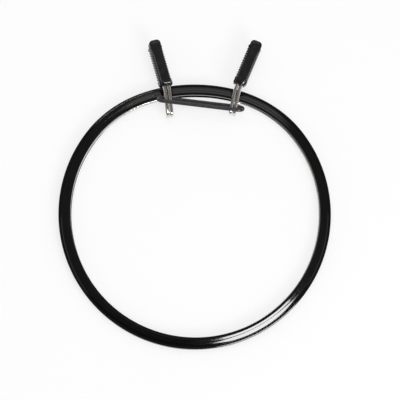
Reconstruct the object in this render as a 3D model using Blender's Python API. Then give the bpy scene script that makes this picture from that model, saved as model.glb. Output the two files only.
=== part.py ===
"""Spring-tension embroidery hoop.

A grooved outer ring lies flat on the table. A sprung wire hoop sits in its groove, and both of its
ends turn in under the ring, rise and come back over it as doubled stems that carry two grips. A long
link is threaded over both stems. The spring is built as two halves that meet opposite the grips.
"""

import math

import bmesh
import bpy
from mathutils import Matrix, Vector

MM = 0.001

# Outer ring: the radius is nominal, and the rim dips inwards between the stems
RING_RADIUS = 95.0 * MM
RING_HEIGHT = 9.0 * MM
RING_SEGMENTS = 96
RING_CENTRE_Y = -14.3 * MM
DIP_DEPTH = 3.5 * MM
DIP_AZIMUTH = math.radians(93.4)
DIP_HALF_WIDTH = math.radians(52.0)

# Ring section, as radii from the ring's axis and heights from the table
RING_EDGE = 0.7 * MM
LIP_EDGE = 0.4 * MM
LIP_RADIUS = 87.2 * MM
FOOT_RADIUS = 86.6 * MM
FOOT_RAMP_RADIUS = 87.7 * MM
FOOT_RAMP_LOW = 2.35 * MM
GROOVE_RADIUS = 89.45 * MM
GROOVE_BOTTOM = 2.9 * MM
GROOVE_TOP = 6.3 * MM
RIM_HEIGHT = 7.9 * MM
RIM_INNER_RADIUS = 93.9 * MM
RIM_INNER_HEIGHT = 8.1 * MM
NOTCH_OUTER_RADIUS = 93.6 * MM
NOTCH_INNER_RADIUS = 93.25 * MM
NOTCH_HEIGHT = 7.5 * MM
# The top falls outwards in two terraces, with a fine step between them
CROWN_OUTER_RADIUS = 93.0 * MM
CROWN_OUTER_HEIGHT = 8.03 * MM
CROWN_MIDDLE_RADIUS = 91.7 * MM
CROWN_MIDDLE_HEIGHT = 8.57 * MM
CROWN_INNER_RADIUS = 90.35 * MM
BEAD_OUTER_RADIUS = 90.2 * MM
BEAD_OUTER_HEIGHT = 8.25 * MM
BEAD_INNER_RADIUS = 88.75 * MM
BEAD_INNER_HEIGHT = 8.74 * MM
LIP_HEIGHT = 8.66 * MM

# Spring wire
WIRE_RADIUS = 1.3 * MM
WIRE_SIDE_GAP = 0.3 * MM
WIRE_RING_RADIUS = GROOVE_RADIUS - WIRE_SIDE_GAP - WIRE_RADIUS
WIRE_RING_Z = (GROOVE_BOTTOM + GROOVE_TOP) / 2
PIVOT_GAP = 0.4 * MM
RING_BEND_RADIUS = 3.0 * MM
RING_BEND_ROOM = math.radians(3.2)
RING_STEP = math.radians(3.5)

# Doubled stems: one line per side, leaning outwards and crossing above the ring
STEM_Z = 13.6 * MM
STEM_SPACING = 2.8 * MM
STEM_REFERENCE_Y = 70.0 * MM
STEM_REFERENCE_X = 21.9 * MM
STEM_LEAN = math.radians(8.8)
STEM_INNER_Y = 68.1 * MM
STEM_BEND_Y = 86.2 * MM
STUB_LENGTH = 2.6 * MM
STUB_BEND_RADIUS = 2.2 * MM
ARC_SLACK = 0.005 * MM

# Grips, measured from the open end of the skirt
GRIP_START = 3.4 * MM
GRIP_LEAN = math.radians(19.4)
GRIP_LENGTH = 33.6 * MM
GRIP_WIDTH = 8.7 * MM
GRIP_BODY_LENGTH = 29.6 * MM
GRIP_BODY_LOW = -3.8 * MM
GRIP_BODY_HIGH = 1.8 * MM
GRIP_EDGE = 0.5 * MM
RIB_PITCH = 1.8 * MM
RIB_DEPTH = 0.6 * MM
RIB_COUNT = 13
RIB_START = 4.6 * MM
RIB_FALL_END = 0.25
RIB_RISE_START = 0.45
RIB_RISE_END = 0.7
BODY_CORNER = 0.8 * MM
MOUTH_TOP = 16.0 * MM
PLATE_WIDTH = 6.7 * MM
PLATE_START = 1.3 * MM
PLATE_END = 33.4 * MM
PLATE_HIGH = 4.0 * MM
PLATE_EDGE = 0.7 * MM
HEAD_START = 27.6 * MM
HEAD_WIDTH = 8.0 * MM
HEAD_LOW = -3.4 * MM
HEAD_HIGH = 3.6 * MM
HEAD_EDGE = 1.2 * MM
TIP_CORNER_RADIUS = 2.5 * MM
SLOT_CLEARANCE = 0.3 * MM
HAIRPIN_DEPTH = 29.8 * MM
GRIP_BEND_RADIUS = 9.0 * MM

# The two sides differ a little: how far the handle stands out, and how far the grip is rolled inwards
SIDES = {
    "left": {"sign": -1, "reach": -2.0 * MM, "roll": math.radians(12.0)},
    "right": {"sign": 1, "reach": 2.0 * MM, "roll": math.radians(1.0)},
}

# Link round both stems
LINK_LENGTH = 62.3 * MM
LINK_WIRE_RADIUS = 1.25 * MM
LINK_SIDE_SPACING = 6.9 * MM
LINK_CENTRE = Vector((-0.5 * MM, 76.4 * MM, STEM_Z))
LINK_TURN = math.radians(-3.5)
LINK_LEAN = math.radians(31.0)

# Colours (linear), roughness and metallic values
FINISHES = {
    "ring_plastic": ((0.010, 0.010, 0.011), 0.22, 0.0),
    "spring_steel": ((0.55, 0.54, 0.52), 0.28, 1.0),
    "grip_plastic": ((0.022, 0.021, 0.024), 0.42, 0.0),
    "link_coating": ((0.050, 0.050, 0.055), 0.38, 0.0),
}


def clear_scene():
    for item in list(bpy.data.objects):
        bpy.data.objects.remove(item, do_unlink=True)


def make_material(name):
    colour, roughness, metallic = FINISHES[name]
    material = bpy.data.materials.new(name)
    material.use_nodes = True
    shader = material.node_tree.nodes["Principled BSDF"]
    shader.inputs["Base Color"].default_value = (*colour, 1.0)
    shader.inputs["Roughness"].default_value = roughness
    shader.inputs["Metallic"].default_value = metallic
    return material


def make_empty(name, location, parent=None):
    empty = bpy.data.objects.new(name, None)
    empty.location = location
    empty.empty_display_size = 10 * MM
    empty.parent = parent
    bpy.context.scene.collection.objects.link(empty)
    return empty


def place(item, parent, offset=Vector((0, 0, 0))):
    """Parent an object whose shape is drawn round the ring's centre, offset from its parent."""
    item.parent = parent
    item.location = -offset
    bpy.context.scene.collection.objects.link(item)
    return item


def mesh_object(name, mesh_data, material, smooth_angle=35):
    mesh = bpy.data.meshes.new(name)
    mesh_data.to_mesh(mesh)
    mesh_data.free()
    mesh.shade_smooth()
    mesh.set_sharp_from_angle(angle=math.radians(smooth_angle))
    mesh.materials.append(material)
    return bpy.data.objects.new(name, mesh)


def polar(radius, azimuth, z=0.0):
    return Vector((radius * math.cos(azimuth), radius * math.sin(azimuth), z))


def dip(azimuth):
    """How far the ring stands inside its nominal circle at this azimuth."""
    away = abs(math.remainder(azimuth - DIP_AZIMUTH, math.tau))
    if away >= DIP_HALF_WIDTH:
        return 0.0
    return DIP_DEPTH * math.cos(math.pi / 2 * away / DIP_HALF_WIDTH) ** 2


def arc_points(centre, radius, start, end, steps):
    """Points on an arc in a flat section, with angles in degrees."""
    points = []
    for step in range(steps + 1):
        angle = math.radians(start + (end - start) * step / steps)
        points.append((centre[0] + radius * math.cos(angle), centre[1] + radius * math.sin(angle)))
    return points


def ring_section():
    """The ring's cross-section, anticlockwise from the inner edge of its flat underside."""
    section = [(FOOT_RADIUS + RING_EDGE, 0.0)]
    section += arc_points((RING_RADIUS - RING_EDGE, RING_EDGE), RING_EDGE, -90, 0, 2)
    section += arc_points((RING_RADIUS - RING_EDGE, RIM_HEIGHT - RING_EDGE), RING_EDGE, 0, 90, 2)
    section += [(RIM_INNER_RADIUS, RIM_INNER_HEIGHT)]
    section += [(NOTCH_OUTER_RADIUS, NOTCH_HEIGHT), (NOTCH_INNER_RADIUS, NOTCH_HEIGHT)]
    section += [(CROWN_OUTER_RADIUS, CROWN_OUTER_HEIGHT), (CROWN_MIDDLE_RADIUS, CROWN_MIDDLE_HEIGHT)]
    section += [(CROWN_INNER_RADIUS, RING_HEIGHT), (BEAD_OUTER_RADIUS, BEAD_OUTER_HEIGHT)]
    section += [(BEAD_INNER_RADIUS, BEAD_INNER_HEIGHT)]
    section += [(LIP_RADIUS + LIP_EDGE, LIP_HEIGHT), (LIP_RADIUS, LIP_HEIGHT - LIP_EDGE)]
    section += [(LIP_RADIUS, GROOVE_TOP + LIP_EDGE), (LIP_RADIUS + LIP_EDGE, GROOVE_TOP)]
    section += [(GROOVE_RADIUS, GROOVE_TOP), (GROOVE_RADIUS, GROOVE_BOTTOM)]
    section += [(FOOT_RAMP_RADIUS, GROOVE_BOTTOM)]
    section += [(FOOT_RADIUS, FOOT_RAMP_LOW), (FOOT_RADIUS, RING_EDGE)]
    return section


def make_ring(material):
    """Sweep the section round the ring's axis, drawn in by the dip."""
    section = ring_section()
    ring = bmesh.new()
    loops = []
    for segment in range(RING_SEGMENTS):
        azimuth = math.tau * segment / RING_SEGMENTS
        inward = dip(azimuth)
        loops.append([ring.verts.new(polar(radius - inward, azimuth, z)) for radius, z in section])
    for segment, loop in enumerate(loops):
        following = loops[(segment + 1) % RING_SEGMENTS]
        for index in range(len(section)):
            beyond = (index + 1) % len(section)
            ring.faces.new((loop[index], following[index], following[beyond], loop[beyond]))
    bmesh.ops.recalc_face_normals(ring, faces=ring.faces)
    return mesh_object("outer_ring", ring, material)


def rounded_path(corners, radii, step_angle=math.radians(18)):
    """Replace each inner corner of a polyline by an arc of the radius given for it."""
    path = [corners[0]]
    for index in range(1, len(corners) - 1):
        corner = corners[index]
        back = (corners[index - 1] - corner).normalized()
        ahead = (corners[index + 1] - corner).normalized()
        turn = math.pi - back.angle(ahead)
        radius = radii[index - 1]
        start = corner + back * radius * math.tan(turn / 2)
        inward = (ahead + back).normalized()
        centre = corner + inward * radius / math.cos(turn / 2)
        spoke = start - centre
        axis = back.cross(ahead).normalized()
        steps = max(1, math.ceil(turn / step_angle))
        for step in range(steps + 1):
            path.append(centre + Matrix.Rotation(-turn * step / steps, 3, axis) @ spoke)
    path.append(corners[-1])
    return path


def tube(name, path, radius, material, closed=False, bevel_resolution=2):
    """A round wire along a path, as a bevelled poly curve with filled ends."""
    curve = bpy.data.curves.new(name, "CURVE")
    curve.dimensions = "3D"
    curve.twist_mode = "MINIMUM"
    curve.bevel_depth = radius
    curve.bevel_resolution = bevel_resolution
    curve.use_fill_caps = not closed
    spline = curve.splines.new("POLY")
    spline.points.add(len(path) - 1)
    for point, position in zip(spline.points, path):
        point.co = (*position, 1.0)
    spline.use_cyclic_u = closed
    spline.use_smooth = True
    curve.materials.append(material)
    return bpy.data.objects.new(name, curve)


def stem_directions(side, lean):
    """Level directions along a line that leans outwards on this side, and across it, outwards."""
    along = Vector((side["sign"] * math.sin(lean), math.cos(lean), 0))
    across = Vector((side["sign"] * math.cos(lean), -math.sin(lean), 0))
    return along, across


def stem_point(side, nominal_y):
    """The point on a stem's line at this distance up the ring, moved by the side's reach."""
    along, _ = stem_directions(side, STEM_LEAN)
    start = Vector((side["sign"] * STEM_REFERENCE_X, STEM_REFERENCE_Y, 0))
    return start + along * ((nominal_y - STEM_REFERENCE_Y) / math.cos(STEM_LEAN) + side["reach"])


def grip_base(side):
    """The middle of the grip's open end."""
    along, _ = stem_directions(side, GRIP_LEAN)
    return stem_point(side, STEM_BEND_Y) + along * GRIP_START + Vector((0, 0, STEM_Z))


def meet(point_a, direction_a, point_b, direction_b):
    """Where two level lines cross, at the first line's height."""
    across = direction_a.x * direction_b.y - direction_a.y * direction_b.x
    offset = point_b - point_a
    distance = (offset.x * direction_b.y - offset.y * direction_b.x) / across
    return point_a + direction_a * distance


def spring_path(side):
    """One half of the spring, from opposite the grips to the free end beside the stem."""
    sign = side["sign"]
    along, across = stem_directions(side, STEM_LEAN)
    grip_along, grip_across = stem_directions(side, GRIP_LEAN)
    half = across * STEM_SPACING / 2
    grip_half = grip_across * STEM_SPACING / 2
    low = Vector((0, 0, WIRE_RING_Z))
    high = Vector((0, 0, STEM_Z))

    # Round the groove, stopping short of the stem's line by the room its bend takes
    crossing = stem_point(side, STEM_BEND_Y)
    stem_azimuth = math.atan2(crossing.y, crossing.x)
    first = -math.pi / 2 + sign * PIVOT_GAP / 2 / WIRE_RING_RADIUS
    last = stem_azimuth - sign * RING_BEND_ROOM - (math.tau if sign < 0 else 0)
    steps = round(abs(last - first) / RING_STEP)
    path = []
    for step in range(steps + 1):
        azimuth = first + (last - first) * step / steps
        path.append(polar(WIRE_RING_RADIUS - dip(azimuth), azimuth, WIRE_RING_Z))

    # In under the ring, up, back over it into the grip, round the hairpin and home beside itself
    tangent = (path[-1] - path[-2]).normalized()
    inner = stem_point(side, STEM_INNER_Y) + along * WIRE_RADIUS
    base = grip_base(side)
    hairpin = base + grip_along * HAIRPIN_DEPTH
    stub_top = inner - half + high
    half_rise = (STEM_Z - WIRE_RING_Z) / 2
    corners = [
        path[-1],
        meet(path[-1], tangent, inner + half + low, along),
        inner + half + low,
        inner + half + high,
        meet(inner + half + high, along, base + grip_half, grip_along),
        hairpin + grip_half,
        hairpin - grip_half,
        meet(stub_top, along, base - grip_half, grip_along),
        stub_top,
        stub_top - Vector((0, 0, STUB_BEND_RADIUS + STUB_LENGTH)),
    ]
    radii = [
        RING_BEND_RADIUS,
        half_rise - ARC_SLACK,
        half_rise - ARC_SLACK,
        GRIP_BEND_RADIUS,
        STEM_SPACING / 2 - ARC_SLACK,
        STEM_SPACING / 2 - ARC_SLACK,
        GRIP_BEND_RADIUS,
        STUB_BEND_RADIUS,
    ]
    return path + rounded_path(corners, radii)[1:]


def box_mesh(low, high):
    box = bmesh.new()
    corners = [(x, y, z) for x in (low[0], high[0]) for y in (low[1], high[1]) for z in (low[2], high[2])]
    verts = [box.verts.new(corner) for corner in corners]
    for face in ((0, 1, 3, 2), (4, 6, 7, 5), (0, 4, 5, 1), (2, 3, 7, 6), (0, 2, 6, 4), (1, 5, 7, 3)):
        box.faces.new([verts[index] for index in face])
    bmesh.ops.recalc_face_normals(box, faces=box.faces)
    return box


def extruded_outline(outline, low, high, chamfer):
    """A flat outline raised from low to high, drawn in by a chamfer round its top and bottom."""
    centre_y = sum(point[1] for point in outline) / len(outline)
    block = bmesh.new()
    reach_x = max(abs(point[0]) for point in outline)
    reach_y = max(abs(point[1] - centre_y) for point in outline)
    shrink_x = 1 - chamfer / reach_x
    shrink_y = 1 - chamfer / reach_y
    loops = []
    for z, inset in ((low, True), (low + chamfer, False), (high - chamfer, False), (high, True)):
        scale_x = shrink_x if inset else 1.0
        scale_y = shrink_y if inset else 1.0
        loops.append([
            block.verts.new((x * scale_x, centre_y + (y - centre_y) * scale_y, z)) for x, y in outline
        ])
    count = len(outline)
    for lower, upper in zip(loops, loops[1:]):
        for index in range(count):
            beyond = (index + 1) % count
            block.faces.new((lower[index], lower[beyond], upper[beyond], upper[index]))
    block.faces.new(list(reversed(loops[0])))
    block.faces.new(loops[-1])
    bmesh.ops.recalc_face_normals(block, faces=block.faces)
    return block


def ribbed_outline():
    """The grip body seen from above: a bar with a furrow beside each rib along its long sides."""
    half = GRIP_WIDTH / 2
    floor = half - RIB_DEPTH
    side = [(half, 0.0)]
    for rib in range(RIB_COUNT):
        start = RIB_START + rib * RIB_PITCH
        side.append((half, start))
        side.append((floor, start + RIB_FALL_END * RIB_PITCH))
        side.append((floor, start + RIB_RISE_START * RIB_PITCH))
        side.append((half, start + RIB_RISE_END * RIB_PITCH))
    side += [(half, GRIP_BODY_LENGTH - BODY_CORNER), (half - BODY_CORNER, GRIP_BODY_LENGTH)]
    return side + [(-x, y) for x, y in reversed(side)]


def rounded_bar_outline(width, start, end):
    """A bar with a square foot and a tip with round corners."""
    half = width / 2
    across = half - TIP_CORNER_RADIUS
    along = end - TIP_CORNER_RADIUS
    corners = arc_points((across, along), TIP_CORNER_RADIUS, 0, 90, 5)
    corners += arc_points((-across, along), TIP_CORNER_RADIUS, 90, 180, 5)
    return [(-half, start), (half, start)] + corners


def grip_matrix(side, pivot, roll):
    """Stand a shape on the grip's open end: Y runs along it, and Z is up before the roll inwards."""
    turn = Matrix.Rotation(-side["sign"] * GRIP_LEAN, 4, "Z")
    return Matrix.Translation(grip_base(side) - pivot) @ turn @ Matrix.Rotation(-side["sign"] * roll, 4, "Y")


def add_modifier_union(item, other):
    union = item.modifiers.new("join_" + other.name, "BOOLEAN")
    union.operation = "UNION"
    union.object = other


def guide_object(name, mesh_data):
    mesh = bpy.data.meshes.new(name)
    mesh_data.to_mesh(mesh)
    mesh_data.free()
    guide = bpy.data.objects.new(name, mesh)
    guide.hide_render = True
    guide.display_type = "WIRE"
    return guide


def make_grip(name, side, material, parent, pivot):
    """A ribbed body, a raised plate and a round head in one moulding, hollowed for the hairpin."""
    frame = grip_matrix(side, pivot, side["roll"])
    level_frame = grip_matrix(side, pivot, 0.0)

    body = extruded_outline(ribbed_outline(), GRIP_BODY_LOW, GRIP_BODY_HIGH, GRIP_EDGE)
    body.transform(frame)
    grip = mesh_object(name, body, material)
    plate_outline = rounded_bar_outline(PLATE_WIDTH, PLATE_START, PLATE_END)
    plate = extruded_outline(plate_outline, PLATE_EDGE, PLATE_HIGH, PLATE_EDGE)
    plate.transform(frame)
    head_outline = rounded_bar_outline(HEAD_WIDTH, HEAD_START, GRIP_LENGTH)
    head = extruded_outline(head_outline, HEAD_LOW, HEAD_HIGH, HEAD_EDGE)
    head.transform(frame)

    half_width = STEM_SPACING / 2 + WIRE_RADIUS + SLOT_CLEARANCE
    half_height = WIRE_RADIUS + SLOT_CLEARANCE
    before = -GRIP_START
    slot_end = HAIRPIN_DEPTH + WIRE_RADIUS + SLOT_CLEARANCE
    slot = box_mesh((-half_width, before, -half_height), (half_width, slot_end, half_height))
    slot.transform(level_frame)
    mouth = box_mesh((-half_width, before, -half_height), (half_width, PLATE_START, MOUTH_TOP))
    mouth.transform(frame)

    place(grip, parent)
    for label, shape in (("plate", plate), ("head", head)):
        add_modifier_union(grip, place(guide_object(name + "_" + label, shape), parent))
    for label, shape in (("slot", slot), ("mouth", mouth)):
        cut = grip.modifiers.new("cut_" + label, "BOOLEAN")
        cut.operation = "DIFFERENCE"
        cut.object = place(guide_object(name + "_" + label, shape), parent)
    return grip


def link_path():
    """The link's closed centre line: two long sides and two half-round ends, leaning over the stems."""
    long_axis = Vector((math.cos(LINK_TURN), math.sin(LINK_TURN), 0))
    level = Vector((long_axis.y, -long_axis.x, 0))
    short_axis = level * math.sin(LINK_LEAN) + Vector((0, 0, math.cos(LINK_LEAN)))
    end_radius = LINK_SIDE_SPACING / 2
    straight = LINK_LENGTH / 2 - LINK_WIRE_RADIUS - end_radius
    outline = arc_points((straight, 0), end_radius, -90, 90, 8)
    outline += arc_points((-straight, 0), end_radius, 90, 270, 8)
    return [LINK_CENTRE + long_axis * x + short_axis * y for x, y in outline]


def main():
    clear_scene()
    materials = {name: make_material(name) for name in FINISHES}
    centre = make_empty("hoop_centre", (0, RING_CENTRE_Y, 0))
    place(make_ring(materials["ring_plastic"]), centre)

    pivot = Vector((0, -WIRE_RING_RADIUS, WIRE_RING_Z))
    for label, side in SIDES.items():
        hinge = make_empty("squeeze_hinge_" + label, pivot, centre)
        wire = tube("spring_wire_" + label, spring_path(side), WIRE_RADIUS, materials["spring_steel"])
        place(wire, hinge, pivot)
        make_grip("grip_" + label, side, materials["grip_plastic"], hinge, pivot)

    slider = make_empty("link_slider", LINK_CENTRE, centre)
    coating = materials["link_coating"]
    link = tube("link", link_path(), LINK_WIRE_RADIUS, coating, closed=True, bevel_resolution=3)
    place(link, slider, LINK_CENTRE)


main()
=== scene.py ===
"""Spring-tension embroidery hoop: finished meshes, materials, floor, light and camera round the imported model.

Lengths are in millimetres where they are named, and every mesh is drawn round the ring's centre and moved
to its place in the frame at the end, so the shapes read like those of the CAD part.
"""

import math

import bmesh
import bpy
from mathutils import Matrix, Quaternion, Vector


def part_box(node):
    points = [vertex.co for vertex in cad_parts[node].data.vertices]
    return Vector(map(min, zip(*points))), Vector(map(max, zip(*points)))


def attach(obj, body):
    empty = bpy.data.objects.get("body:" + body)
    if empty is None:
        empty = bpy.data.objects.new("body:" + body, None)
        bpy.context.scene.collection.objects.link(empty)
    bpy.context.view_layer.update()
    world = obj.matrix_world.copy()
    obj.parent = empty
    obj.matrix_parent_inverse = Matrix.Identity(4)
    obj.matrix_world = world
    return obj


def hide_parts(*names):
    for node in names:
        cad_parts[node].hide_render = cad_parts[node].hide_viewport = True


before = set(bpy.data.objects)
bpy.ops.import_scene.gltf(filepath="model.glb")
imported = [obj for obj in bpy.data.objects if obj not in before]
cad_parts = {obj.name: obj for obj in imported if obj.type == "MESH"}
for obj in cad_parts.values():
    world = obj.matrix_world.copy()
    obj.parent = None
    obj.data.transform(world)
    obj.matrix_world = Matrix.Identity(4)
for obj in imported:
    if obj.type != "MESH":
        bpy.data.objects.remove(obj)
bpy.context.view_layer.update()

MM = 0.001
MM_PER_CM = 10.0

# How finely arcs are drawn: in the ring's section, in the wire's bends and at the grips' corners
SECTION_STEP = math.radians(15)
BEND_STEP = math.radians(7)
CORNER_STEP = math.radians(9)
# Edges sharper than this are drawn sharp: on turned and swept pieces, and on the grips
SMOOTH_ANGLE = 40.0
GRIP_SMOOTH_ANGLE = 38.0

# Camera: almost overhead, turned a little about its own axis
CAMERA_AZIMUTH = math.radians(-3.2)
CAMERA_ELEVATION = math.radians(81.23)
CAMERA_ROLL = math.radians(6.55)
CAMERA_DISTANCE = 1.3
CAMERA_TARGET = Vector((3.12, 9.78, 4.547)) * MM
CAMERA_LENS = 167.3
CAMERA_SENSOR = 36.0

# Lights: name; azimuth, elevation, distance; width, height; radiance; what they are seen by; shape
LIGHTS = (
    ("key", (315, 45, 1.6), (0.6, 0.6), 5.0, "surfaces", "RECTANGLE"),
    ("overhead", (90, 84, 1.9), (1.3, 1.3), 2.2, "surfaces", "RECTANGLE"),
    ("key_gloss", (309, 50, 1.6), (0.84, 0.76), 16.5, "reflections", "ELLIPSE"),
    ("far_glow", (87, 31, 1.8), (1.6, 1.3), 0.5, "reflections", "RECTANGLE"),
    ("far_crest", (87, 46, 1.8), (1.3, 0.4), 0.55, "reflections", "RECTANGLE"),
    ("left_glow", (195, 24, 1.8), (1.1, 0.7), 0.75, "reflections", "RECTANGLE"),
    ("right_glow", (355, 20, 1.8), (1.0, 0.5), 0.8, "reflections", "RECTANGLE"),
)
SKY_STRENGTH = 0.45
# How bright the reflected room is on its near side and elsewhere
ROOM_DARK = 0.02
ROOM_LIT = 0.15
FLOOR_HALF_SIZE = 6.0
FLOOR_DROP = 0.05
FLOOR_GLOW = 0.71

# Ring
RING_RADIUS = 95.0
DIP_DEPTH = 3.5
DIP_AZIMUTH = math.radians(93.4)
DIP_HALF_WIDTH = math.radians(52.0)
RING_SEGMENTS = 360
LIP_RADIUS = 87.03
FOOT_RADIUS = 86.65
# The lip and the foot stand a little off centre from the rest of the moulding
LIP_DRIFT = 0.5
LIP_DRIFT_AZIMUTH = math.radians(25)
LIP_DRIFT_RADIUS = 87.6
GROOVE_RADIUS = 89.45
GROOVE_BOTTOM = 2.9
GROOVE_TOP = 6.3
# The section's corners, anticlockwise from its inner foot: radius from the axis, height, rounding
RING_SECTION = (
    (87.15, 0.0, 0.4),
    (95.0, 0.0, 0.7),
    (95.0, 7.8, 0.5),
    (94.4, 7.98, 0.5),
    (93.75, 8.08, 0.15),
    (93.5, 7.7, 0.1),
    (93.3, 7.7, 0.1),
    (92.75, 8.08, 0.2),
    (91.8, 8.52, 6.0),
    (90.36, 8.96, 0.05),
    (90.32, 8.62, 0.03),
    (90.2, 8.62, 0.04),
    (88.92, 9.07, 0.12),
    (LIP_RADIUS, 8.86, 0.15),
    (LIP_RADIUS, GROOVE_TOP, 0.35),
    (GROOVE_RADIUS, GROOVE_TOP, 0.3),
    (GROOVE_RADIUS, GROOVE_BOTTOM, 0.3),
    (87.9, GROOVE_BOTTOM, 0.3),
    (FOOT_RADIUS, 2.3, 0.12),
)

# Spring wire and its stems
WIRE_RADIUS = 1.3
WIRE_SIDE_GAP = 0.3
WIRE_RING_RADIUS = GROOVE_RADIUS - WIRE_SIDE_GAP - WIRE_RADIUS
WIRE_RING_Z = (GROOVE_BOTTOM + GROOVE_TOP) / 2
WIRE_SIDES = 24
WIRE_STEP = math.radians(1.5)
PIVOT_GAP = 0.02
# A wire's end is domed, so that the two halves can tilt against each other: setback, share of the radius
END_LOOPS = ((0.03, 0.15), (0.14, 0.85), (0.32, 1.0))
RING_BEND_RADIUS = 3.0
RING_BEND_ROOM = math.radians(3.2)
STEM_Z = 13.6
STEM_SPACING = 2.8
STEM_REFERENCE_X = 21.9
STEM_REFERENCE_Y = 70.0
STEM_LEAN = math.radians(8.8)
STEM_INNER_Y = 68.1
STEM_BEND_Y = 86.2
STUB_LENGTH = 2.6
STUB_BEND_RADIUS = 2.2
# Kept free between two arcs that would otherwise meet end to end
ARC_SLACK = 0.005

# Grips: how far past the stem's bend they start; all other places are measured from their open end
GRIP_START = 3.4
GRIP_LEAN = math.radians(19.4)
GRIP_LENGTH = 33.6
GRIP_WIDTH = 8.7
GRIP_BODY_LENGTH = 29.6
RIB_PITCH = 1.8
RIB_DEPTH = 0.75
RIB_COUNT = 13
RIB_START = 4.6
RIB_STATIONS = 8
BODY_BOTTOM = -3.8
BODY_TOP = 1.6
BODY_EDGE = 0.16
BODY_TIP_ROUNDING = 0.6
# The foot's corners, on the side away from the other grip and on the side towards it
OUTER_ROUNDING = 2.8
INNER_ROUNDING = 0.9
# How much further the side towards the other grip stands out
INNER_EXTRA = 0.4
# The neck joins the plate to the body
NECK_INSET = 0.6
NECK_START = 1.2
NECK_BOTTOM = 1.0
NECK_TOP = 3.4
NECK_EDGE = 0.1
PLATE_WIDTH = 7.2
PLATE_START = 0.15
FLARE_STEPS = 24
FLARE_START = 21.0
FLARE_END = 29.0
HEAD_START = 26.0
HEAD_WIDTH = 8.2
HEAD_ROUNDING = 2.7
# The head below the plate is a little narrower than the plate's round end
HEAD_NARROWING = 0.9
HEAD_BOTTOM = -3.4
HEAD_TOP = 3.5
HEAD_EDGE = 0.9
# The plate's sides from below upwards: height, inset of the left side, inset of the right side
PLATE_PROFILE = (
    (1.75, 0.5, 0.5),
    (1.8, 0.2, 0.2),
    (1.85, 0.06, 0.08),
    (1.9, 0.0, 0.03),
    (2.1, 0.08, 0.0),
    (2.95, 0.39, 0.05),
    (3.48, 0.59, 0.44),
    (3.64, 0.73, 0.6),
    (3.79, 0.91, 0.82),
    (3.9, 1.15, 1.08),
    (3.97, 1.43, 1.4),
    (4.0, 1.75, 1.75),
)
# How much further in the plate's left side stands than its right side
PLATE_LEDGE = 0.15
# Insets count this many times over along the grip, at its foot and at its tip, and fade out over the reach
FOOT_DOME = 2.3
TIP_DOME = 1.8
PLATE_DOME_REACH = 12.0
# The hollow for the hairpin
SLOT_CLEARANCE = 0.3
SLOT_ROUNDING = 0.9
SLOT_EDGE = 0.3
HAIRPIN_DEPTH = 29.8
GRIP_BEND_RADIUS = 9.0
# Each side: its sign in X, how far its handle is moved along the stem, and its grip's roll
SIDES = {
    "left": {"sign": -1, "reach": -2.0, "roll": math.radians(12.0)},
    "right": {"sign": 1, "reach": 2.0, "roll": math.radians(1.0)},
}

# Link
LINK_LENGTH = 62.3
LINK_WIRE_RADIUS = 1.33
LINK_SIDE_SPACING = 6.9
LINK_CENTRE = Vector((-0.5, 76.4, STEM_Z))
LINK_TURN = math.radians(-3.5)
LINK_LEAN = math.radians(31.0)
LINK_END_STEPS = 24
LINK_SIDE_STEPS = 20

ring_low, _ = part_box("outer_ring")
ring_centre = Vector((0, ring_low.y + RING_RADIUS * MM, 0))


# ---------------------------------------------------------------- camera, floor and light


def make_camera():
    """The view is set first, so that it never depends on what is built."""
    back = Vector((
        math.sin(CAMERA_AZIMUTH) * math.cos(CAMERA_ELEVATION),
        -math.cos(CAMERA_AZIMUTH) * math.cos(CAMERA_ELEVATION),
        math.sin(CAMERA_ELEVATION),
    ))
    data = bpy.data.cameras.new("camera")
    data.lens = CAMERA_LENS
    data.sensor_width = CAMERA_SENSOR
    camera = bpy.data.objects.new("camera", data)
    camera.location = ring_centre + CAMERA_TARGET + back * CAMERA_DISTANCE
    camera.rotation_mode = "QUATERNION"
    camera.rotation_quaternion = (-back).to_track_quat("-Z", "Y") @ Quaternion((0, 0, 1), CAMERA_ROLL)
    bpy.context.scene.collection.objects.link(camera)
    bpy.context.scene.camera = camera


def add_node(tree, kind, settings=None, **inputs):
    """A node with its settings and inputs: a pair (node, output) is linked, anything else is a set value.

    An input is named, with _ for a space, or is i and its number.
    """
    node = tree.nodes.new("ShaderNode" + kind)
    for key, value in (settings or {}).items():
        setattr(node, key, value)
    for key, value in inputs.items():
        by_number = key[0] == "i" and key[1:].isdigit()
        socket = node.inputs[int(key[1:]) if by_number else key.replace("_", " ")]
        if isinstance(value, tuple) and isinstance(value[0], bpy.types.Node):
            tree.links.new(value[0].outputs[value[1]], socket)
        else:
            socket.default_value = value
    return node


def area_light(name, place, size, radiance, seen_by, shape):
    """A softbox that faces the ring's centre, given by the radiance that it shows.

    Its place is an azimuth and an elevation in degrees and a distance in metres, and its size is in metres.
    """
    azimuth, elevation = math.radians(place[0]), math.radians(place[1])
    width, height = size
    data = bpy.data.lights.new(name, "AREA")
    data.shape = shape
    data.size = width
    data.size_y = height
    data.energy = radiance * math.pi * width * height
    light = bpy.data.objects.new(name, data)
    away = Vector((
        math.cos(azimuth) * math.cos(elevation),
        math.sin(azimuth) * math.cos(elevation),
        math.sin(elevation),
    ))
    light.location = ring_centre + away * place[2]
    light.rotation_mode = "QUATERNION"
    light.rotation_quaternion = away.to_track_quat("Z", "Y")
    light.visible_glossy = seen_by == "reflections"
    light.visible_diffuse = seen_by == "surfaces"
    light.visible_camera = False
    bpy.context.scene.collection.objects.link(light)


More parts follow.
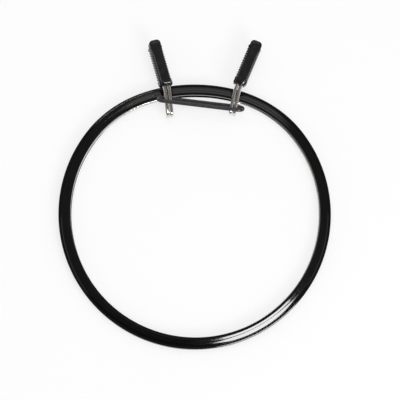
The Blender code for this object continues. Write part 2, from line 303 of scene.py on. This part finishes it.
def make_world():
    """White to the camera and for lighting; polished surfaces reflect a dim room, darker on its near side."""
    world = bpy.data.worlds.new("studio")
    bpy.context.scene.world = world
    world.use_nodes = True
    tree = world.node_tree
    output = tree.nodes["World Output"]
    light = tree.nodes["Background"]
    light.inputs["Color"].default_value = (1.0, 0.998, 1.0, 1.0)
    light.inputs["Strength"].default_value = SKY_STRENGTH
    place = add_node(tree, "TexCoord")
    axes = add_node(tree, "SeparateXYZ", Vector=(place, "Generated"))
    dimming = add_node(
        tree, "MapRange", Value=(axes, "Y"), From_Min=-0.5, From_Max=-0.15, To_Min=ROOM_DARK, To_Max=ROOM_LIT)
    room = add_node(tree, "Background", Color=(1.0, 0.99, 0.98, 1.0), Strength=(dimming, 0))
    path = add_node(tree, "LightPath")
    mix = add_node(tree, "MixShader", i0=(path, "Is Glossy Ray"), i1=(light, 0), i2=(room, 0))
    tree.links.new(mix.outputs[0], output.inputs["Surface"])


def make_floor():
    """A plain white table top, partly self-lit, and large enough for low views."""
    size = FLOOR_HALF_SIZE
    mesh = bpy.data.meshes.new("floor")
    corners = [(-size, -size, 0), (size, -size, 0), (size, size, 0), (-size, size, 0)]
    mesh.from_pydata(corners, [], [(0, 1, 2, 3)])
    floor = bpy.data.objects.new("floor", mesh)
    floor.location = (0, 0, -FLOOR_DROP * MM)
    bpy.context.scene.collection.objects.link(floor)
    material = bpy.data.materials.new("floor_white")
    material.use_nodes = True
    tree = material.node_tree
    shader = tree.nodes["Principled BSDF"]
    shader.inputs["Roughness"].default_value = 0.75
    shader.inputs["Specular IOR Level"].default_value = 0.2
    place = add_node(tree, "TexCoord")
    grain = add_node(tree, "TexNoise", Vector=(place, "Object"), Scale=9.0, Detail=3.0)
    tint = add_node(tree, "ValToRGB", Fac=(grain, 0))
    tint.color_ramp.elements[0].color = (0.3, 0.299, 0.301, 1)
    tint.color_ramp.elements[1].color = (0.315, 0.314, 0.315, 1)
    tree.links.new(tint.outputs[0], shader.inputs["Base Color"])
    shader.inputs["Emission Color"].default_value = (1.0, 0.996, 1.0, 1.0)
    shader.inputs["Emission Strength"].default_value = FLOOR_GLOW
    mesh.materials.append(material)


# ---------------------------------------------------------------- materials


def principled(name, metallic=0.0, roughness=0.5, specular=0.5):
    material = bpy.data.materials.new(name)
    material.use_nodes = True
    shader = material.node_tree.nodes["Principled BSDF"]
    shader.inputs["Metallic"].default_value = metallic
    shader.inputs["Roughness"].default_value = roughness
    shader.inputs["Specular IOR Level"].default_value = specular
    return material, material.node_tree, shader


def ramp(tree, source, low, high, low_at=0.3, high_at=0.7):
    """A colour ramp between two colours, or greys given as numbers."""
    node = add_node(tree, "ValToRGB", Fac=source)
    for element, value, at in zip(node.color_ramp.elements, (low, high), (low_at, high_at)):
        element.position = at
        element.color = (*value, 1) if isinstance(value, tuple) else (value, value, value, 1)
    return node


def finish_material(tree, shader, colour, roughness, height, bump_distance, bump_strength=1.0):
    bump = add_node(tree, "Bump", Height=height, Distance=bump_distance, Strength=bump_strength)
    tree.links.new(colour.outputs[0], shader.inputs["Base Color"])
    tree.links.new(roughness.outputs[0], shader.inputs["Roughness"])
    tree.links.new(bump.outputs[0], shader.inputs["Normal"])


def ring_material():
    """Polished black moulding: flow marks in the gloss, hairline rubs along the ring, a slow waviness."""
    material, tree, shader = principled("ring_gloss_black", specular=0.5)
    place = add_node(tree, "TexCoord")
    cloud = add_node(tree, "TexNoise", Vector=(place, "Object"), Scale=60.0, Detail=4.0)
    along = add_node(tree, "Mapping", Vector=(place, "UV"), Scale=(60.0, 6.0, 1.0))
    rubs = add_node(tree, "TexNoise", Vector=(along, 0), Scale=6.0, Detail=6.0, Roughness=0.7)
    mixed = add_node(tree, "Math", {"operation": "MULTIPLY"}, i0=(cloud, 0), i1=(rubs, 0))
    colour = ramp(tree, (cloud, 0), (0.0022, 0.0022, 0.0025), (0.0042, 0.0041, 0.0042))
    gloss = ramp(tree, (mixed, 0), 0.07, 0.16, 0.12, 0.5)
    waves = add_node(tree, "TexNoise", Vector=(place, "Object"), Scale=110.0, Detail=1.0)
    finish_material(tree, shader, colour, gloss, (waves, 0), bump_distance=0.00004)
    return material


def steel_material():
    """Bright drawn wire: lines along it, and warm tarnish in patches."""
    material, tree, shader = principled("spring_bright_steel", metallic=1.0)
    place = add_node(tree, "TexCoord")
    along = add_node(tree, "Mapping", Vector=(place, "UV"), Scale=(9.0, 0.12, 1.0))
    lines = add_node(tree, "TexNoise", Vector=(along, 0), Scale=3.0, Detail=5.0, Roughness=0.6)
    patches = add_node(tree, "TexNoise", Vector=(place, "Object"), Scale=170.0, Detail=5.0)
    tarnish = add_node(tree, "Math", {"operation": "MULTIPLY"}, i0=(lines, 0), i1=(patches, 0))
    colour = ramp(tree, (tarnish, 0), (0.8, 0.77, 0.74), (0.58, 0.53, 0.48), 0.15, 0.45)
    gloss = ramp(tree, (patches, 0), 0.2, 0.3)
    finish_material(tree, shader, colour, gloss, (lines, 0), bump_distance=0.000008)
    return material


def grip_material():
    """Satin black moulding with a fine grain and cloudy patches in its gloss."""
    material, tree, shader = principled("grip_satin_black", specular=0.5)
    place = add_node(tree, "TexCoord")
    cloud = add_node(tree, "TexNoise", Vector=(place, "Object"), Scale=220.0, Detail=4.0)
    grain = add_node(tree, "TexNoise", Vector=(place, "Object"), Scale=5200.0, Detail=2.0)
    colour = ramp(tree, (cloud, 0), (0.0075, 0.0075, 0.0085), (0.0115, 0.0114, 0.0125))
    gloss = ramp(tree, (cloud, 0), 0.2, 0.3)
    finish_material(tree, shader, colour, gloss, (grain, 0), bump_distance=0.00002, bump_strength=0.6)
    return material


def coating_material():
    """Dark grey dipped coating over bent wire: orange peel and small thin spots."""
    material, tree, shader = principled("link_black_coating", specular=0.5)
    place = add_node(tree, "TexCoord")
    cloud = add_node(tree, "TexNoise", Vector=(place, "Object"), Scale=260.0, Detail=5.0)
    peel = add_node(tree, "TexNoise", Vector=(place, "Object"), Scale=1400.0, Detail=2.0)
    colour = ramp(tree, (cloud, 0), (0.034, 0.034, 0.038), (0.046, 0.046, 0.051))
    gloss = ramp(tree, (cloud, 0), 0.2, 0.3)
    finish_material(tree, shader, colour, gloss, (peel, 0), bump_distance=0.000015, bump_strength=0.5)
    return material


# ---------------------------------------------------------------- meshes


def polar(radius, azimuth, z=0.0):
    return Vector((radius * math.cos(azimuth), radius * math.sin(azimuth), z))


def dip(azimuth):
    """How far the ring stands inside its nominal circle at this azimuth."""
    away = abs(math.remainder(azimuth - DIP_AZIMUTH, math.tau))
    if away >= DIP_HALF_WIDTH:
        return 0.0
    return DIP_DEPTH * math.cos(math.pi / 2 * away / DIP_HALF_WIDTH) ** 2


def rounded_corner(before, corner, after, radius, steps):
    """Points of the arc that rounds one corner, in any plane."""
    back = (before - corner).normalized()
    ahead = (after - corner).normalized()
    turn = math.pi - back.angle(ahead)
    start = corner + back * radius * math.tan(turn / 2)
    centre = corner + (ahead + back).normalized() * radius / math.cos(turn / 2)
    axis = back.cross(ahead).normalized()
    spoke = start - centre
    return [centre + Matrix.Rotation(-turn * step / steps, 3, axis) @ spoke for step in range(steps + 1)]


def rounded_loop(corners, step_angle=SECTION_STEP):
    """A closed flat outline whose corners (x, y, rounding) are rounded, as points (x, y, 0)."""
    points = []
    count = len(corners)
    for index, (x, y, radius) in enumerate(corners):
        before = Vector((*corners[index - 1][:2], 0))
        after = Vector((*corners[(index + 1) % count][:2], 0))
        corner = Vector((x, y, 0))
        turn = math.pi - (before - corner).angle(after - corner)
        steps = max(2, math.ceil(turn / step_angle))
        points += rounded_corner(before, corner, after, radius, steps)
    return points


def rounded_path(corners, radii, step_angle=BEND_STEP):
    """Replace each inner corner of a polyline by an arc of the radius given for it."""
    path = [corners[0]]
    for index in range(1, len(corners) - 1):
        before, corner, after = corners[index - 1:index + 2]
        turn = math.pi - (before - corner).angle(after - corner)
        steps = max(2, math.ceil(turn / step_angle))
        path += rounded_corner(before, corner, after, radii[index - 1], steps)
    path.append(corners[-1])
    return path


def loft(name, loops, material, body, node, closed=False):
    """Join loops of points, in millimetres round the ring's centre, into one skin that rides on a body.

    The UV map runs round each loop in U, from 0 to 1, and along the loops in V, in centimetres.
    """
    mesh_data = bmesh.new()
    uv = mesh_data.loops.layers.uv.new("flow")
    rows = [[mesh_data.verts.new(point) for point in loop] for loop in loops]
    count = len(loops[0])
    travelled = 0.0
    pairs = list(zip(rows, rows[1:]))
    if closed:
        pairs.append((rows[-1], rows[0]))
    for row, following in pairs:
        step = (following[0].co - row[0].co).length / MM_PER_CM
        for index in range(count):
            beyond = (index + 1) % count
            face = mesh_data.faces.new((row[index], row[beyond], following[beyond], following[index]))
            across = (index / count, (index + 1) / count)
            places = (
                (across[0], travelled), (across[1], travelled),
                (across[1], travelled + step), (across[0], travelled + step),
            )
            for corner, spot in zip(face.loops, places):
                corner[uv].uv = spot
        travelled += step
    if not closed:
        mesh_data.faces.new(list(reversed(rows[0])))
        mesh_data.faces.new(rows[-1])
    bmesh.ops.recalc_face_normals(mesh_data, faces=mesh_data.faces)
    return finish_piece(name, mesh_data, material, body, node)


def finish_piece(name, mesh_data, material, body, node, smooth_angle=SMOOTH_ANGLE):
    """Turn a bmesh in millimetres into a shown piece at its place in the frame."""
    mesh = bpy.data.meshes.new(name)
    mesh_data.transform(Matrix.Translation(ring_centre) @ Matrix.Scale(MM, 4))
    mesh_data.to_mesh(mesh)
    mesh_data.free()
    mesh.shade_smooth()
    mesh.set_sharp_from_angle(angle=math.radians(smooth_angle))
    mesh.materials.append(material)
    piece = bpy.data.objects.new(name, mesh)
    bpy.context.scene.collection.objects.link(piece)
    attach(piece, body)
    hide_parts(node)
    return piece


def sweep_loops(path, radius, sides, closed=False):
    """Round loops along a path, with as little twist as the path allows, and slightly domed ends."""
    count = len(path)
    tangents = []
    for index, point in enumerate(path):
        before = path[index - 1] if closed or index > 0 else point
        after = path[(index + 1) % count] if closed or index < count - 1 else point
        tangents.append((after - before).normalized())
    spoke = tangents[0].orthogonal().normalized()
    loops = []
    for point, tangent in zip(path, tangents):
        spoke = (spoke - tangent * spoke.dot(tangent)).normalized()
        side = tangent.cross(spoke)
        loop = []
        for corner in range(sides):
            angle = math.tau * corner / sides
            loop.append(point + (spoke * math.cos(angle) + side * math.sin(angle)) * radius)
        loops.append(loop)
    if not closed:
        start = domed_end(loops[0], path[0], tangents[0])
        end = domed_end(loops[-1], path[-1], -tangents[-1])
        loops = start + loops[1:-1] + end[::-1]
    return loops


def domed_end(loop, centre, inward):
    """The loops that close a wire's end, from its tip inwards."""
    return [
        [centre + (corner - centre) * share + inward * setback for corner in loop]
        for setback, share in END_LOOPS
    ]


def make_ring(material):
    section = rounded_loop(RING_SECTION)
    loops = []
    for segment in range(RING_SEGMENTS):
        azimuth = math.tau * segment / RING_SEGMENTS
        inward = dip(azimuth)
        drift = LIP_DRIFT * math.cos(azimuth - LIP_DRIFT_AZIMUTH)
        loop = []
        for point in section:
            shift = drift if point.x < LIP_DRIFT_RADIUS else 0.0
            loop.append(polar(point.x + shift - inward, azimuth, point.y))
        loops.append(loop)
    return loft("hoop_ring", loops, material, "root", "outer_ring", closed=True)


def stem_directions(side, lean):
    """Level directions along a line that leans outwards on this side, and across it, outwards."""
    along = Vector((side["sign"] * math.sin(lean), math.cos(lean), 0))
    across = Vector((side["sign"] * math.cos(lean), -math.sin(lean), 0))
    return along, across


def stem_point(side, nominal_y):
    """The point on a stem's line at this distance up the ring, moved by the side's reach."""
    along, _ = stem_directions(side, STEM_LEAN)
    start = Vector((side["sign"] * STEM_REFERENCE_X, STEM_REFERENCE_Y, 0))
    return start + along * ((nominal_y - STEM_REFERENCE_Y) / math.cos(STEM_LEAN) + side["reach"])


def grip_base(side):
    """The middle of the grip's open end."""
    along, _ = stem_directions(side, GRIP_LEAN)
    return stem_point(side, STEM_BEND_Y) + along * GRIP_START + Vector((0, 0, STEM_Z))


def meet(point_a, direction_a, point_b, direction_b):
    """Where two level lines cross, at the first line's height."""
    across = direction_a.x * direction_b.y - direction_a.y * direction_b.x
    offset = point_b - point_a
    distance = (offset.x * direction_b.y - offset.y * direction_b.x) / across
    return point_a + direction_a * distance


def spring_path(side):
    """One half of the spring, from opposite the grips to the free end beside the stem."""
    sign = side["sign"]
    along, across = stem_directions(side, STEM_LEAN)
    grip_along, grip_across = stem_directions(side, GRIP_LEAN)
    half = across * STEM_SPACING / 2
    grip_half = grip_across * STEM_SPACING / 2
    low = Vector((0, 0, WIRE_RING_Z))
    high = Vector((0, 0, STEM_Z))

    # Round the groove, stopping short of the stem's line by the room its bend takes
    crossing = stem_point(side, STEM_BEND_Y)
    stem_azimuth = math.atan2(crossing.y, crossing.x)
    first = -math.pi / 2 + sign * PIVOT_GAP / 2 / WIRE_RING_RADIUS
    last = stem_azimuth - sign * RING_BEND_ROOM - (math.tau if sign < 0 else 0)
    steps = round(abs(last - first) / WIRE_STEP)
    path = []
    for step in range(steps + 1):
        azimuth = first + (last - first) * step / steps
        path.append(polar(WIRE_RING_RADIUS - dip(azimuth), azimuth, WIRE_RING_Z))

    # In under the ring, up, back over it into the grip, round the hairpin and home beside itself
    tangent = (path[-1] - path[-2]).normalized()
    inner = stem_point(side, STEM_INNER_Y) + along * WIRE_RADIUS
    base = grip_base(side)
    hairpin = base + grip_along * HAIRPIN_DEPTH
    stub_top = inner - half + high
    half_rise = (STEM_Z - WIRE_RING_Z) / 2
    corners = [
        path[-1],
        meet(path[-1], tangent, inner + half + low, along),
        inner + half + low,
        inner + half + high,
        meet(inner + half + high, along, base + grip_half, grip_along),
        hairpin + grip_half,
        hairpin - grip_half,
        meet(stub_top, along, base - grip_half, grip_along),
        stub_top,
        stub_top - Vector((0, 0, STUB_BEND_RADIUS + STUB_LENGTH)),
    ]
    radii = [
        RING_BEND_RADIUS,
        half_rise - ARC_SLACK,
        half_rise - ARC_SLACK,
        GRIP_BEND_RADIUS,
        STEM_SPACING / 2 - ARC_SLACK,
        STEM_SPACING / 2 - ARC_SLACK,
        GRIP_BEND_RADIUS,
        STUB_BEND_RADIUS,
    ]
    return path + rounded_path(corners, radii)[1:]


def link_path():
    """The link's closed centre line: two long sides and two half-round ends, leaning over the stems."""
    long_axis = Vector((math.cos(LINK_TURN), math.sin(LINK_TURN), 0))
    level = Vector((long_axis.y, -long_axis.x, 0))
    short_axis = level * math.sin(LINK_LEAN) + Vector((0, 0, math.cos(LINK_LEAN)))
    end_radius = LINK_SIDE_SPACING / 2
    straight = LINK_LENGTH / 2 - LINK_WIRE_RADIUS - end_radius
    outline = []
    for sign in (1, -1):
        for step in range(LINK_END_STEPS + 1):
            angle = math.pi * (step / LINK_END_STEPS - 0.5)
            reach = straight + end_radius * math.cos(angle)
            outline.append((sign * reach, sign * end_radius * math.sin(angle)))
        for step in range(1, LINK_SIDE_STEPS):
            outline.append((sign * straight * (1 - 2 * step / LINK_SIDE_STEPS), sign * end_radius))
    return [LINK_CENTRE + long_axis * x + short_axis * y for x, y in outline]


def rounded_edge(low, high, edge, steps=5):
    """Heights and insets of a straight side whose upper and lower edges are rounded alike."""
    turns = [math.pi / 2 * step / steps for step in range(steps + 1)]
    profile = [(low + edge * (1 - math.cos(turn)), edge * (1 - math.sin(turn))) for turn in turns]
    return profile + [(low + high - z, inset) for z, inset in reversed(profile)]


def stacked(rows_of_points):
    """Rows of points joined one above another and closed at both ends, as a bmesh."""
    block = bmesh.new()
    rows = [[block.verts.new(point) for point in points] for points in rows_of_points]
    count = len(rows[0])
    for lower, upper in zip(rows, rows[1:]):
        for index in range(count):
            beyond = (index + 1) % count
            block.faces.new((lower[index], lower[beyond], upper[beyond], upper[index]))
    block.faces.new(list(reversed(rows[0])))
    block.faces.new(rows[-1])
    bmesh.ops.recalc_face_normals(block, faces=block.faces)
    return block


def slab(outline, profile):
    """A flat outline carried up through a profile of (height, inset), as a closed bmesh."""
    count = len(outline)
    normals = []
    for index in range(count):
        along = (outline[(index + 1) % count] - outline[index - 1]).normalized()
        normals.append(Vector((along.y, -along.x, 0)))
    rows = []
    for z, inset in profile:
        rows.append([
            Vector((point.x - normal.x * inset, point.y - normal.y * inset, z))
            for point, normal in zip(outline, normals)
        ])
    return stacked(rows)


def domed_plate(outline):
    """The plate: chamfered along its sides, and sloping down further towards its foot and its tip."""
    rows = []
    for z, left_inset, right_inset in PLATE_PROFILE:
        row = []
        for point in outline:
            inset = left_inset if point.x < 0 else right_inset
            near_foot = max(0.0, 1 - point.y / PLATE_DOME_REACH) ** 2
            near_tip = max(0.0, 1 - (GRIP_LENGTH - point.y) / PLATE_DOME_REACH) ** 2
            narrower = point.x * (1 - 2 * inset / PLATE_WIDTH)
            shorter = point.y + inset * (FOOT_DOME * near_foot - TIP_DOME * near_tip)
            row.append(Vector((narrower, shorter, z)))
        rows.append(row)
    return stacked(rows)


def quarter(x, y, radius, start, steps):
    """A quarter turn round a centre, anticlockwise from the starting angle, as points (x, y, 0)."""
    turns = [start + math.pi / 2 * step / steps for step in range(steps + 1)]
    return [Vector((x + radius * math.cos(turn), y + radius * math.sin(turn), 0)) for turn in turns]


def closed_outline(right, left):
    """A closed outline from two right halves that run from foot to tip, the second of them mirrored."""
    return right + [Vector((-point.x, point.y, 0)) for point in reversed(left)]


def ribbed_half(foot_rounding, extra):
    """Half of the grip body seen from above: its side is furrowed between round ribs."""
    half = GRIP_WIDTH / 2 + extra
    outline = quarter(half - foot_rounding, foot_rounding, foot_rounding, -math.pi / 2, steps=8)
    for station in range(RIB_COUNT * RIB_STATIONS + 1):
        depth = RIB_DEPTH * (0.5 - 0.5 * math.cos(math.tau * station / RIB_STATIONS))
        outline.append(Vector((half - depth, RIB_START + RIB_PITCH * station / RIB_STATIONS, 0)))
    tip = GRIP_BODY_LENGTH - BODY_TIP_ROUNDING
    return outline + quarter(half - BODY_TIP_ROUNDING, tip, BODY_TIP_ROUNDING, 0.0, steps=4)


def plate_half(grow, start, foot_rounding):
    """Half of the smooth plate seen from above: a straight side that flares out to a round head."""
    half = PLATE_WIDTH / 2 + grow
    flare = HEAD_WIDTH / 2 - half
    outline = quarter(half - foot_rounding, start + foot_rounding, foot_rounding, -math.pi / 2, steps=10)
    for step in range(1, FLARE_STEPS):
        share = step / FLARE_STEPS
        rise = share * share * (3 - 2 * share)
        outline.append(Vector((half + flare * rise, FLARE_START + (FLARE_END - FLARE_START) * share, 0)))
    tip = GRIP_LENGTH - HEAD_ROUNDING
    return outline + quarter(HEAD_WIDTH / 2 - HEAD_ROUNDING, tip, HEAD_ROUNDING, 0.0, steps=12)


def bar_outline(width, start, end, rounding):
    """A bar from above, with rounded corners."""
    half = width / 2
    return rounded_loop(
        [(-half, start, rounding), (half, start, rounding), (half, end, rounding), (-half, end, rounding)],
        CORNER_STEP,
    )


def work_object(name, mesh_data):
    mesh = bpy.data.meshes.new(name)
    mesh_data.to_mesh(mesh)
    mesh_data.free()
    item = bpy.data.objects.new(name, mesh)
    bpy.context.scene.collection.objects.link(item)
    return item


def combined(base, operations):
    """The base shape after joining or cutting the others, in turn, as a bmesh."""
    item = work_object("work_base", base)
    tools = []
    for operation, shape in operations:
        tool = work_object("work_tool", shape)
        tools.append(tool)
        step = item.modifiers.new("step", "BOOLEAN")
        step.operation = operation
        step.solver = "EXACT"
        step.object = tool
    evaluated = item.evaluated_get(bpy.context.evaluated_depsgraph_get())
    result = bmesh.new()
    result.from_mesh(evaluated.to_mesh())
    for extra in tools + [item]:
        bpy.data.objects.remove(extra, do_unlink=True)
    return result


def make_grip(label, side, material):
    """A ribbed body, a smooth plate with a round head, and the hollow for the hairpin, in one moulding."""
    sign = side["sign"]
    halves = [(OUTER_ROUNDING, 0.0), (INNER_ROUNDING, INNER_EXTRA)][::sign]
    body_outline = closed_outline(*[ribbed_half(rounding, extra) for rounding, extra in halves])
    body = slab(body_outline, rounded_edge(BODY_BOTTOM, BODY_TOP, BODY_EDGE))
    neck_outline = closed_outline(
        *[plate_half(extra - NECK_INSET, NECK_START, rounding) for rounding, extra in halves])
    neck = slab(neck_outline, rounded_edge(NECK_BOTTOM, NECK_TOP, NECK_EDGE))
    right, left = halves
    plate = domed_plate(closed_outline(
        plate_half(right[1], PLATE_START, right[0]),
        plate_half(left[1] - PLATE_LEDGE, PLATE_START, left[0]),
    ))
    head_outline = bar_outline(HEAD_WIDTH - HEAD_NARROWING, HEAD_START, GRIP_LENGTH, HEAD_ROUNDING)
    head = slab(head_outline, rounded_edge(HEAD_BOTTOM, HEAD_TOP, HEAD_EDGE))

    half_width = STEM_SPACING / 2 + WIRE_RADIUS + SLOT_CLEARANCE
    half_height = WIRE_RADIUS + SLOT_CLEARANCE
    slot_end = HAIRPIN_DEPTH + WIRE_RADIUS + SLOT_CLEARANCE
    slot_outline = bar_outline(2 * half_width, -GRIP_START, slot_end, SLOT_ROUNDING)
    slot = slab(slot_outline, rounded_edge(-half_height, half_height, SLOT_EDGE))
    slot.transform(Matrix.Rotation(sign * side["roll"], 4, "Y"))
    grip = combined(body, (("UNION", neck), ("UNION", plate), ("UNION", head), ("DIFFERENCE", slot)))
    turn = Matrix.Rotation(-sign * GRIP_LEAN, 4, "Z") @ Matrix.Rotation(-sign * side["roll"], 4, "Y")
    grip.transform(Matrix.Translation(grip_base(side)) @ turn)
    piece = finish_piece(
        "handle_" + label, grip, material, label + "_arm", "grip_" + label, GRIP_SMOOTH_ANGLE)
    weighted = piece.modifiers.new("even_shading", "WEIGHTED_NORMAL")
    weighted.keep_sharp = True
    return piece


make_camera()
make_world()
make_floor()
for light_settings in LIGHTS:
    area_light(*light_settings)

ring_finish = ring_material()
steel_finish = steel_material()
grip_finish = grip_material()
link_finish = coating_material()

make_ring(ring_finish)
for label, side in SIDES.items():
    loops = sweep_loops(spring_path(side), WIRE_RADIUS, WIRE_SIDES)
    loft("spring_" + label, loops, steel_finish, label + "_arm", "spring_wire_" + label)
link_loops = sweep_loops(link_path(), LINK_WIRE_RADIUS, WIRE_SIDES, closed=True)
loft("slide_link", link_loops, link_finish, "link_body", "link", closed=True)
for label, side in SIDES.items():
    make_grip(label, side, grip_finish)

bpy.context.scene.view_settings.view_transform = "Standard"
